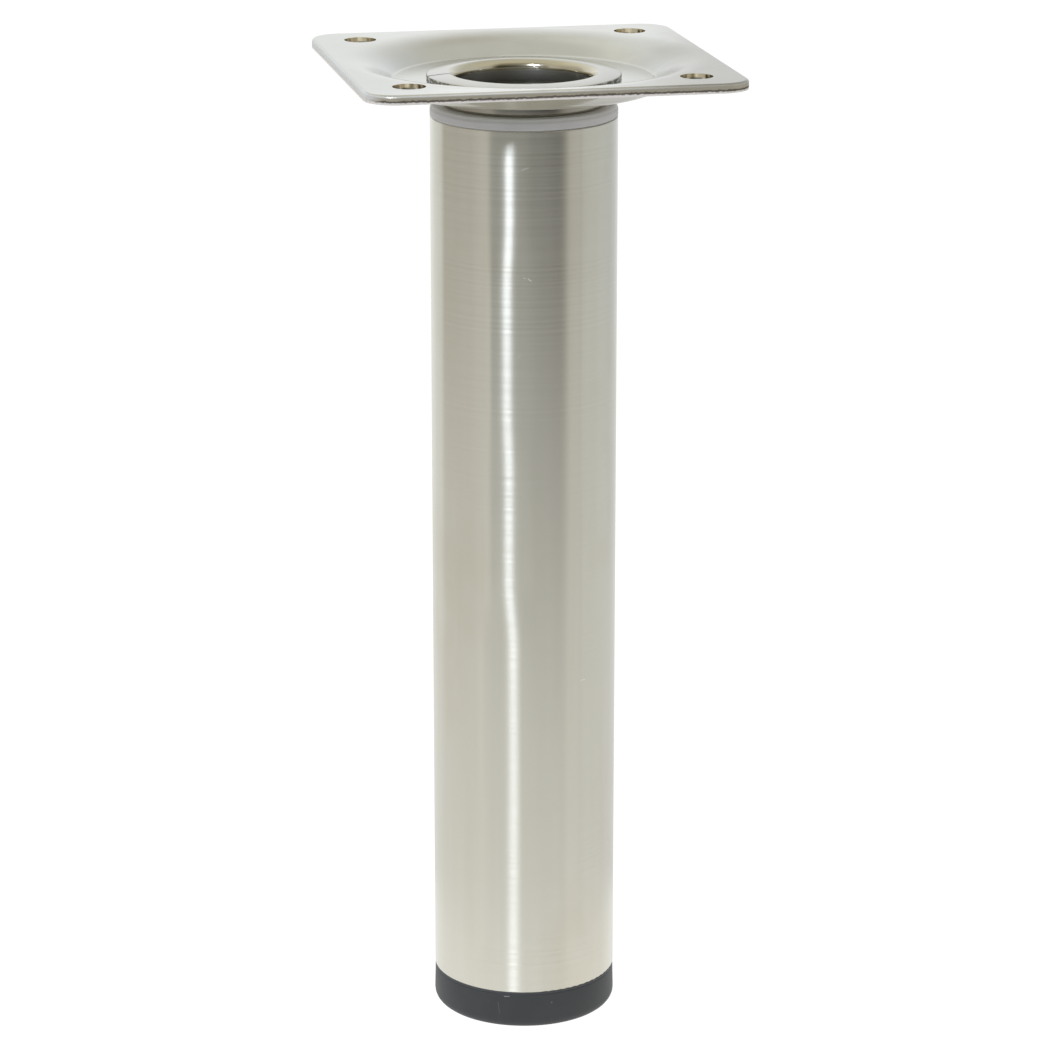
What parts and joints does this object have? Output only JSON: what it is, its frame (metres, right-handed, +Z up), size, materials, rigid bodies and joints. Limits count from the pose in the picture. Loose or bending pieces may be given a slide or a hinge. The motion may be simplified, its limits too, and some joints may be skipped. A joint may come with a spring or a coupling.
{
  "type": "height adjustable table leg",
  "caption": "Round brushed steel furniture leg that screws onto a dished square mounting plate, with a black foot that screws in and out to level it.",
  "frame": {"origin": "on the leg's axis, at the underside of the foot", "axes": "+Z up along the leg to the mounting plate, +X and +Y along the plate's sides, the sleeve's seam towards -X"},
  "size_m": [0.06, 0.06, 0.16],
  "materials": {
    "plated_steel": "pressed sheet steel, bright nickel plate, faint drawing marks in the dish",
    "plated_sleeve": "rolled sheet steel, bright nickel plate",
    "pale_plastic": "moulded, pale cool grey, slight sheen",
    "brushed_stainless": "brushed round the tube, fine satin lines",
    "black_bush": "moulded, black, matte",
    "black_plastic": "moulded, black, matte with a fine grain"
  },
  "bodies": {
    "plate": {"mounting_plate": "plated_steel", "threaded_sleeve": "plated_sleeve"},
    "top_bush": {"top_bush": "pale_plastic"},
    "leg": {"leg_tube": "brushed_stainless"},
    "bottom_bush": {"bottom_bush": "black_bush"},
    "foot": {"foot": "black_plastic"}
  },
  "joints": [
    {"name": "leg_travel", "type": "slide", "parent": "plate", "child": "top_bush", "axis": [0, 0, -1], "range_m": [0, 0.012]},
    {"name": "leg_turn", "type": "hinge", "parent": "top_bush", "child": "leg", "pos_m": [0, 0, 0.1509], "axis": [0, 0, -1], "range_deg": [0, 1440]},
    {"name": "foot_turn", "type": "hinge", "parent": "leg", "child": "bottom_bush", "pos_m": [0, 0, 0.0065], "axis": [0, 0, -1], "range_deg": [0, 1440]},
    {"name": "foot_travel", "type": "slide", "parent": "bottom_bush", "child": "foot", "axis": [0, 0, -1], "range_m": [0, 0.01]}
  ],
  "couplings": [
    {"joint": "leg_travel", "follows": "leg_turn", "m_per_rad": 0.00047746},
    {"joint": "foot_travel", "follows": "foot_turn", "m_per_rad": 0.00039789}
  ]
}
